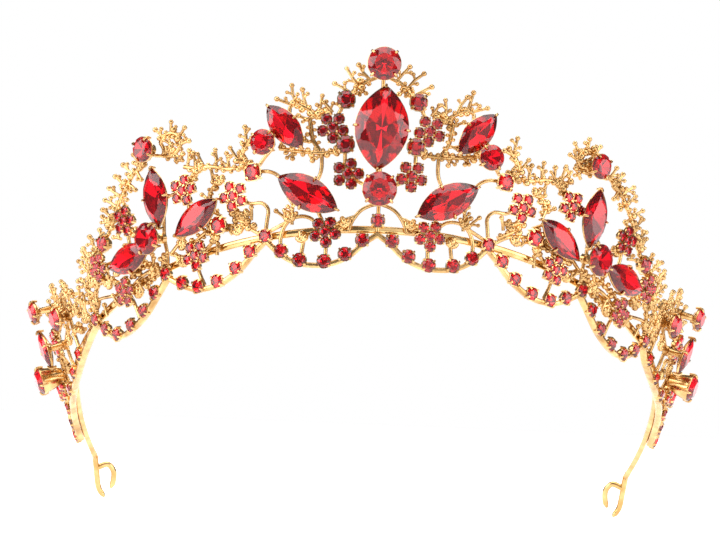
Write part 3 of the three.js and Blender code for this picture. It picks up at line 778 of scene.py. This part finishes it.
SIDE_TWIGS = [
    (91.2, 2.0, 100, 4.4), (92.8, 5.2, 112, 5.2), (95.6, 7.6, 96, 5.4), (98.6, 10.4, 112, 5.4),
    (101.6, 12.4, 98, 5.8), (104.8, 14.4, 110, 4.8), (108.2, 13.8, 72, 4.8), (111.4, 11.6, 64, 5.0),
    (115.6, 7.0, 66, 4.6), (118.4, 4.8, 76, 4.6), (124.0, 3.0, 70, 4.0), (133.0, 3.2, 70, 3.6),
    (137.6, 2.0, 74, 3.0), (142.4, 1.2, 72, 2.6), (103.2, 4.4, 110, 3.0), (112.8, 1.6, 80, 3.0),
    (96.2, 11.8, 84, 4.4), (147.0, 0.8, 70, 2.4),
]

# %% Leaves, as (u, v, degrees)
CENTRE_LEAVES = [(6.8, 0.4, 60), (19.4, 2.6, 70), (9.6, 19.0, 200), (13.2, 26.4, 120), (17.2, -2.6, 80)]
FRONT_LEAVES = [
    (29.6, 5.4, 30), (32.4, 1.8, 70), (28.2, 16.8, 80), (38.6, 1.4, 60), (40.2, 18.6, 90),
    (47.6, 2.8, 40), (49.4, -1.8, 100), (54.0, 1.6, 20), (58.6, 0.2, 10), (46.6, 25.6, 120),
    (54.4, 25.2, 40), (61.6, 10.6, 60), (66.2, -3.6, 80), (69.6, 16.6, 60), (72.0, 4.4, 80),
    (76.0, 3.6, 40), (79.6, 12.0, 60), (84.0, 6.8, 80), (84.6, 1.6, 60), (34.8, 14.6, 60),
]
SIDE_LEAVES = [
    (91.8, 1.4, 90), (95.0, 5.6, 120), (101.8, 9.6, 100), (103.6, 2.8, 80), (110.4, 9.8, 60),
    (113.4, -0.6, 90), (117.6, 3.4, 60), (125.2, -0.4, 60), (134.4, 1.6, 60), (140.4, 1.4, 60),
]

# %% [markdown]
# ## Growing the openwork
# A wire follows a smooth curve on the surface. A branch is a wire with beads pressed
# against it in turn on each side. A twig has a stalk, alternate shoots and a ball on every
# tip, and its lean, bend and lengths vary a little with a fixed seed, as cast twigs do.

# %% The openwork's sizes
WIRE_RADIUS = 0.48
BRANCH_RADIUS = 0.56
STALK_RADIUS = 0.44
SHOOT_RADIUS = 0.36
PATH_GAP = 0.9
BUD_RADII = (0.5, 0.58, 0.66, 0.86)
STALK_TIP = (0.60, 0.74)
SHOOT_TIP = (0.48, 0.62)
LOBES = ((-42, 1.5), (0, 2.25), (42, 1.5))
LOBE_BEADS = ((0.35, 0.62), (0.7, 0.82), (1.0, 0.7))
COLLET_RADIUS = {"small": 1.78, "medium": 2.25, "petal": 1.42}
PETAL_RING = 2.5
RAIL_WIDTH = 1.3
RAIL_DEPTH = 1.7
RAIL_DROP = 0.8
RAIL_MID = 2.3
chance = random.Random(11)
print("collet radii", COLLET_RADIUS, "mm")

# %% Growing the wires and twigs


class Openwork:
    """Collects one casting's wires, beads and settings, on the side that sign gives."""

    def __init__(self, sign=1):
        self.sign = sign
        self.wires = []
        self.beads = []
        self.settings = []

    def spot(self, u, v, w):
        return crest(self.sign * u, v, w)

    def bead(self, u, v, w, radius, stretch=1.0):
        spot, along, _, out = self.spot(u, v, w)
        self.beads.append((spot, out, along, (radius * stretch, radius, radius)))

    def wire(self, places, radius=WIRE_RADIUS):
        path = smooth_path(places, PATH_GAP)
        spots = [self.spot(u, v, FRAME_MID)[0] for u, v in path]
        self.wires.append((spots, [radius] * len(path)))
        return path

    def branch(self, places):
        path = self.wire(places, BRANCH_RADIUS)
        for k, (u, v) in enumerate(path[1:-1]):
            ahead = path[k + 2] - path[k]
            ahead = ahead / np.linalg.norm(ahead)
            side = (1 if k % 2 else -1) * chance.uniform(0.35, 0.85)
            level = FRAME_MID + chance.uniform(0.0, 0.6)
            bud = chance.choice(BUD_RADII)
            self.bead(u - ahead[1] * side, v + ahead[0] * side, level, bud, chance.uniform(0.9, 1.3))

    def shoot(self, foot, degrees, length, radius, w, lean):
        """A stalk in two straight halves. It gives back its middle, its tip and its levels."""
        half = 0.5 * length
        angle = math.radians(degrees)
        middle = (foot[0] + half * math.cos(angle), foot[1] + half * math.sin(angle))
        angle += math.radians(chance.uniform(-14, 14))
        tip = (middle[0] + half * math.cos(angle), middle[1] + half * math.sin(angle))
        stops = [foot, middle, tip]
        levels = [w, w + 0.5 * lean, w + lean]
        spots = [self.spot(u, v, level)[0] for (u, v), level in zip(stops, levels)]
        self.wires.append((spots, [radius, radius * 0.9, radius * 0.9]))
        return middle, tip, levels

    def twig(self, u, v, degrees, length):
        degrees += chance.uniform(-7, 7)
        lean = chance.uniform(-0.3, 0.9)
        middle, tip, levels = self.shoot((u, v), degrees, length, STALK_RADIUS, FRAME_MID, lean)
        self.bead(*tip, levels[2], chance.uniform(*STALK_TIP))
        side = chance.choice((-1, 1))
        count = max(1, round(length / 1.5) - 1)
        for k in range(count):
            share = 0.28 + 0.52 * k / count
            start, end, t = ((u, v), middle, share * 2) if share < 0.5 else (middle, tip, share * 2 - 1)
            foot = (start[0] + (end[0] - start[0]) * t, start[1] + (end[1] - start[1]) * t)
            side = -side
            reach = chance.uniform(1.05, 1.6)
            turn = degrees + side * chance.uniform(38, 56)
            height = levels[0] + lean * share
            _, end, rises = self.shoot(foot, turn, reach, SHOOT_RADIUS, height, chance.uniform(-0.2, 0.6))
            self.bead(*end, rises[2], chance.uniform(*SHOOT_TIP))

    def leaf(self, u, v, degrees):
        """Three flat lobes, as the castings have where several wires meet."""
        for turn, length in LOBES:
            angle = math.radians(degrees + turn)
            for share, radius in LOBE_BEADS:
                run = length * share
                self.bead(u + run * math.cos(angle), v + run * math.sin(angle), FRAME_MID + 0.2, radius)

    def setting(self, u, v, kind, w=FRAME_BACK - 0.2, shift=(0, 0)):
        spot, along, rise, out = self.spot(u, v, w)
        spot = spot + along * (shift[0] * MM) + rise * (shift[1] * MM)
        radius = COLLET_RADIUS[kind]
        self.settings.append((spot, out, along, (radius, radius, radius)))

    def flower(self, u, v):
        turn = chance.uniform(0, 1.2)
        self.setting(u, v, "petal", FRAME_MID + 0.3)
        for k in range(5):
            angle = turn + 2 * math.pi * k / 5
            shift = (PETAL_RING * math.cos(angle), PETAL_RING * math.sin(angle))
            self.setting(u, v, "petal", FRAME_MID, shift)

    def fill(self, wires, branches, twigs, leaves, small, medium, flowers):
        for places in wires:
            self.wire(places)
        for places in branches:
            self.branch(places)
        for twig in twigs:
            self.twig(*twig)
        for leaf in leaves:
            self.leaf(*leaf)
        for u, v in small:
            self.setting(u, v, "small")
        for u, v in medium:
            self.setting(u, v, "medium", FRAME_BACK + 0.2)
        for u, v in flowers:
            self.flower(u, v)


# %% Growing the rails
def rail_mesh(bm, places, sign):
    """A smooth strip on edge that follows the scallops under the small stones."""
    path = smooth_path(places, PATH_GAP)
    section = rounded_section(RAIL_WIDTH, RAIL_DEPTH, EDGE_CORNER)
    rings = []
    for k, (u, v) in enumerate(path):
        ahead = path[min(k + 1, len(path) - 1)] - path[max(k - 1, 0)]
        ahead = ahead / np.linalg.norm(ahead)
        rings.append([
            crest(sign * (u - ahead[1] * (a - RAIL_DROP)), v + ahead[0] * (a - RAIL_DROP), RAIL_MID + b)[0]
            for a, b in section
        ])
    loft(bm, rings)


# %% [markdown]
# ## Five castings
# The crest is five castings: the centre, two fronts and two sides. Each becomes three
# pieces, because their finishes differ: the wirework, the collets and the small stones.
# The collets and stones come from the same points, so a stone always sits in its collet.

# %% Joining meshes, parenting them to the root body and hiding the solids they replace


def joined(name, objects, finish):
    """Several finished meshes as one piece with one finish."""
    bm = bmesh.new()
    for part in objects:
        bm.from_mesh(part.data)
        bpy.data.objects.remove(part)
    for face in bm.faces:
        face.material_index = 0
    mesh = bpy.data.meshes.new(name)
    bm.to_mesh(mesh)
    bm.free()
    mesh.materials.append(finish)
    made = bpy.data.objects.new(name, mesh)
    bpy.context.scene.collection.objects.link(made)
    return made


def hold(piece, slot, *nodes):
    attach(piece, "root")
    if nodes:
        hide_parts(*nodes)


# %% Make the castings
SEAT_HEIGHT = 0.93
STONE_FIT = 0.95


def casting(name, works, rails):
    wires = [w for work in works for w in work.wires]
    beads = [b for work in works for b in work.beads]
    settings = [s for work in works for s in work.settings]
    bm = bmesh.new()
    for places, sign in rails:
        rail_mesh(bm, places, sign)
    strips = finished(bm, "strips", [cast_gold], 50)
    tubes = wires_object("tubes", wires, cast_gold)
    balls = studs_object("balls", beads, bead, cast_gold)
    wirework = joined(f"{name}_wirework", [strips, tubes, balls], cast_gold)
    hold(wirework, "cast_gold", name)
    collets = studs_object(f"{name}_collets", settings, collet, cup_gold)
    hold(collets, "cup_gold")
    stones = []
    for spot, out, along, size in settings:
        stones.append((spot + out * (size[0] * SEAT_HEIGHT * MM), out, along, [STONE_FIT * n for n in size]))
    glass = studs_object(f"{name}_small_stones", stones, small_stone, red_glass, red_foil)
    hold(glass, "red_glass")
    print(name, len(wires), "wires", len(beads), "beads", len(settings), "small stones")


def works_for(tables, signs=(1,)):
    works = []
    for sign in signs:
        work = Openwork(sign)
        work.fill(*tables)
        works.append(work)
    return works


spine = works_for((SPINE_WIRES, [], [], [], [(0, 1.9)], [], []))
centre_tables = (
    CENTRE_WIRES, CENTRE_BRANCHES, CENTRE_TWIGS, CENTRE_LEAVES, CENTRE_SMALL, CENTRE_MEDIUM, CENTRE_FLOWERS,
)
front_tables = (
    FRONT_WIRES, FRONT_BRANCHES, FRONT_TWIGS, FRONT_LEAVES, FRONT_SMALL, FRONT_MEDIUM, FRONT_FLOWERS,
)
side_tables = (SIDE_WIRES, SIDE_BRANCHES, SIDE_TWIGS, SIDE_LEAVES, SIDE_SMALL, SIDE_MEDIUM, SIDE_FLOWERS)
centre_rails = [(rail, sign) for rail in CENTRE_RAILS for sign in (1, -1)]
casting("centre_frame", spine + works_for(centre_tables, (1, -1)), centre_rails)
for side, sign in (("left", 1), ("right", -1)):
    casting(f"{side}_front_frame", works_for(front_tables, (sign,)), [(r, sign) for r in FRONT_RAILS])
    casting(f"{side}_side_frame", works_for(side_tables, (sign,)), [(r, sign) for r in SIDE_RAILS])
hold(band, "polished_gold", "base_band")

# %% [markdown]
# ## Cutting the large stones
# A lapidary grinds one flat facet at a time, and the same can be done here: start from a
# block and cut it with planes. Each plane leans on the outline at one place and passes
# through two heights. Real facets are flat, so planes give true edges where a smooth shape
# with a pattern would not. A round stone and a pointed navette take the same list of cuts.

# %% A stone's outline and heights
CUT = {"pavilion": 0.24, "crown": 0.16, "girdle": 0.12, "floor": 0.4, "gap": 0.3}
BOW = 1.7
FLAT = 1e-9


def outline(stone, theta, grow=0.0):
    """A point on a stone's edge and the way that the edge faces, both flat."""
    a = stone["length"] / 2 + grow
    b = stone["width"] / 2 + grow
    c, s = math.cos(theta), math.sin(theta)
    if stone["round"]:
        return np.array([a * c, b * s]), np.array([c, s])
    if abs(s) <= FLAT:
        return np.array([a * c, 0.0]), np.array([math.copysign(1.0, c), 0.0])
    point = np.array([a * c, math.copysign(b * abs(s) ** BOW, s)])
    facing = np.array([BOW * b * abs(s) ** (BOW - 1) * c, a * s])
    return point, facing / np.linalg.norm(facing)


def heights(stone):
    girdle = stone["rise"] + CUT["floor"] + CUT["pavilion"] * stone["width"]
    return stone["rise"], girdle, girdle + CUT["crown"] * stone["width"]


# %% Cutting facets
def facet(bm, stone, theta, low, high):
    """Cuts one plane. low and high are (share of the outline's reach, height)."""
    point, facing = outline(stone, theta)
    reach = float(point @ facing)
    (r0, z0), (r1, z1) = low, high
    rise = z1 - z0
    run = (r0 - r1) * reach
    normal = Vector((facing[0] * abs(rise), facing[1] * abs(rise), run if rise > 0 else -run))
    spot = Vector((facing[0] * r0 * reach, facing[1] * r0 * reach, z0))
    cut_plane(bm, spot, normal)


def cut_plane(bm, spot, normal):
    geometry = [*bm.verts, *bm.edges, *bm.faces]
    cut = bmesh.ops.bisect_plane(
        bm, geom=geometry, dist=1e-6, plane_co=spot, plane_no=normal, clear_outer=True
    )
    edges = [e for e in cut["geom_cut"] if isinstance(e, bmesh.types.BMEdge) and e.is_boundary]
    if edges:
        bmesh.ops.edgeloop_fill(bm, edges=edges)


def cut_stone(stone):
    """A brilliant cut on the stone's own outline, in millimetres about the cup's foot."""
    _, girdle, crown = heights(stone)
    top = girdle + CUT["girdle"] / 2
    bottom = girdle - CUT["girdle"] / 2
    up = crown - top
    down = bottom - (stone["rise"] + CUT["floor"] + CUT["gap"])
    bm = bmesh.new()
    bmesh.ops.create_cube(bm, size=60)
    cut_plane(bm, Vector((0, 0, crown)), Vector((0, 0, 1)))
    eighth = math.pi / 4
    for k in range(32):
        facet(bm, stone, eighth * k / 4, (1, bottom), (0.9999, top))
    for k in range(8):
        facet(bm, stone, eighth * k, (1, top), (0.6, crown))
        facet(bm, stone, eighth * (k + 0.5), (0.8, top + 0.6 * up), (0.57, crown))
        facet(bm, stone, eighth * k, (1, bottom), (0.06, bottom - down))
    for k in range(16):
        facet(bm, stone, eighth * (k / 2 + 0.25), (1, top), (0.82, top + 0.55 * up))
        facet(bm, stone, eighth * (k / 2 + 0.25), (1, bottom), (0.45, bottom - 0.62 * down))
    bm.normal_update()
    for face in bm.faces:
        face.material_index = 1 if face.calc_center_median().z < bottom - 1e-3 else 0
    return bm


def stone_place(stone, sign):
    """The matrix that takes a stone's own millimetres to its place on the crest."""
    sideways, up = stone["lean"]
    spot, along, rise, out = crest(sign * stone["u"] - sideways, stone["v"] - sign * up, CUP_BASE)
    basis = Matrix((along, rise, out)).transposed().to_4x4()
    angle = math.radians(180 - stone["angle"] if sign < 0 else stone["angle"])
    return Matrix.Translation(spot) @ basis @ Matrix.Rotation(angle, 4, "Z") @ Matrix.Scale(MM, 4)


# %% [markdown]
# ## Cups and claws
# Each large stone sits in a cup stamped from thin sheet, with claws bent over its edge. The
# cup is a loft whose rings follow the stone's outline, up the outside and down the inside,
# so it is closed and has a real wall. A peg under it reaches down to the wires. The claws
# are short bent wires, from the same tree as the openwork's.

# %% Cups
CUP = {"outside": 0.12, "inside": -0.18, "lip": -0.1, "post": 1.1}
CUP_TURNS = [math.pi * k / 16 for k in range(32)]


def peg_rings(stone):
    """A peg down to the wires. Under a raised cup it is a post with a wide foot."""
    bowl = stone["rise"]
    post = CUP["post"]
    wires = FRAME_MID - CUP_BASE
    shape = [(post, wires), (post, 0.3)]
    if bowl > 0 and not stone["cone"]:
        waist = post * 0.8
        shape = [(post * 1.25, wires), (post * 1.2, 0.25), (waist, 0.5), (waist, bowl), (post, bowl + 0.3)]
    return [circle(radius, 12, z) for radius, z in shape]


def cup_mesh(stone):
    bowl, girdle, _ = heights(stone)
    outer = CUP["outside"]
    inner = CUP["inside"]
    foot = (0.5, 0.0) if stone["cone"] else (0.42, bowl)
    rows = [
        (outer, foot[0], foot[1]),
        (outer, foot[0] + 0.06, foot[1] + 0.05),
        (outer, 0.82, foot[1] + 0.55 * (girdle - 0.5 - foot[1])),
        (outer, 0.97, girdle - 0.7),
        (outer, 1.0, girdle - 0.35),
        (outer, 1.0, girdle + CUP["lip"] - 0.08),
        (outer - 0.08, 1.0, girdle + CUP["lip"]),
        (inner + 0.06, 1.0, girdle + CUP["lip"]),
        (inner, 0.96, girdle - 0.4),
        (inner, 0.22, bowl + CUT["floor"]),
    ]
    bm = bmesh.new()
    rings = []
    for grow, scale, z in rows:
        flat = [outline(stone, t, grow)[0] * scale for t in CUP_TURNS]
        rings.append([Vector((x, y, z)) for x, y in flat])
    loft(bm, rings)
    loft(bm, peg_rings(stone))
    return bm


# %% Claws, as (height from the girdle, distance from the edge, radius)
CLAW = [(-1.4, 0.1, 0.30), (-0.4, 0.28, 0.34), (0.2, 0.22, 0.34), (0.5, -0.1, 0.32), (0.72, -0.55, 0.24)]


def claw_turns(stone):
    """Between the axes of a round stone, or at the points and flanks of a navette."""
    first = math.pi / 4 if stone["round"] else 0.0
    return [first + math.pi / 2 * k for k in range(4)]


def claw_wires(stone, matrix):
    wires = []
    girdle = heights(stone)[1]
    for turn in claw_turns(stone):
        point, facing = outline(stone, turn)
        spots = []
        for z, away, _ in CLAW:
            flat = point + facing * away
            spots.append(matrix @ Vector((flat[0], flat[1], girdle + z)))
        wires.append((spots, [radius for _, _, radius in CLAW]))
    return wires


# %% Set the large stones
def set_stone(stone, name, sign):
    matrix = stone_place(stone, sign)
    cut = cut_stone(stone)
    cut.transform(matrix)
    gem = finished(cut, f"{name}_gem", [red_glass, red_foil])
    hold(gem, "red_glass", f"{name}_stone")
    shell = cup_mesh(stone)
    shell.transform(matrix)
    shell = finished(shell, "shell", [cup_gold], 40)
    claws = wires_object("claws", claw_wires(stone, matrix), cup_gold, 8)
    hold(joined(f"{name}_setting", [shell, claws], cup_gold), "cup_gold", f"{name}_cup")


for stone in CENTRE_STONES:
    set_stone(stone, stone["name"], 1)
for side, sign in (("left", 1), ("right", -1)):
    for stone in SIDE_STONES:
        set_stone(stone, f"{side}_{stone['name']}", sign)
for template in (bead, collet, small_stone):
    bpy.data.objects.remove(template)
print("large stones", len(CENTRE_STONES) + 2 * len(SIDE_STONES))

# %% [markdown]
# ## Floor and light
# Gold and glass show what is around them. Large soft lights give long pale highlights, and
# a darker world between them gives the dark lines that make metal look like metal. The
# floor and the far background are plain and pale.

# %% Floor
low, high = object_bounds()
FLOOR_DROP = 0.0005
FLOOR_SIZE = 0.6
FLOOR_GLOW = 0.55


def floor_surface(graph):
    cloud = graph.noise(3.0)
    return graph.node(
        "ShaderNodeBsdfPrincipled",
        {},
        Base_Color=graph.mix(cloud, (0.93, 0.93, 0.93, 1), (0.95, 0.95, 0.95, 1)),
        Roughness=0.6 + 0.1 * cloud,
        Emission_Color=(1, 1, 1, 1),
        Emission_Strength=FLOOR_GLOW,
    )


bm = bmesh.new()
bmesh.ops.create_grid(bm, x_segments=1, y_segments=1, size=FLOOR_SIZE)
floor = finished(bm, "floor", [material("pale_floor", floor_surface)])
floor.data.transform(Matrix.Translation((0, 0, low[2] - FLOOR_DROP)))
print("floor at", round(low[2] - FLOOR_DROP, 4), "m")

# %% Lights
AIM = (0, 0.04, 0)
LIGHTS = [
    ("key", (-1.15, -0.35, 0.45), (1.3, 1.0), 15),
    ("fill", (1.15, -0.45, 0.35), (0.9, 0.9), 8),
    ("top", (0, -0.1, 1.25), (1.5, 1.0), 13),
    ("back", (0.0, 1.3, 0.5), (1.6, 0.7), 9),
    ("front", (0.45, -1.5, 0.3), (1.2, 0.8), 2.5),
]
WORLD_TONE = (0.80, 0.80, 0.84, 1)
WORLD_POWER = 0.26


def soft_light(name, place_at, size, power):
    lamp = bpy.data.objects.new(name, bpy.data.lights.new(name, "AREA"))
    lamp.data.shape = "RECTANGLE"
    lamp.data.size, lamp.data.size_y = size
    lamp.data.energy = power
    lamp.location = place_at
    lamp.rotation_euler = (Vector(AIM) - Vector(place_at)).to_track_quat("-Z", "Y").to_euler()
    bpy.context.scene.collection.objects.link(lamp)


for light in LIGHTS:
    soft_light(*light)
print("lights", len(LIGHTS))

# %% World
world = bpy.data.worlds.new("studio")
bpy.context.scene.world = world
world.use_nodes = True
graph = Graph(world.node_tree)
seen = graph.node("ShaderNodeLightPath").pick("Is Camera Ray")
studio = graph.node("ShaderNodeBackground", {}, WORLD_TONE, WORLD_POWER)
paper = graph.node("ShaderNodeBackground", {}, (1, 1, 1, 1), 1.0)
graph.node("ShaderNodeOutputWorld", {}, graph.node("ShaderNodeMixShader", {}, seen, studio, paper))
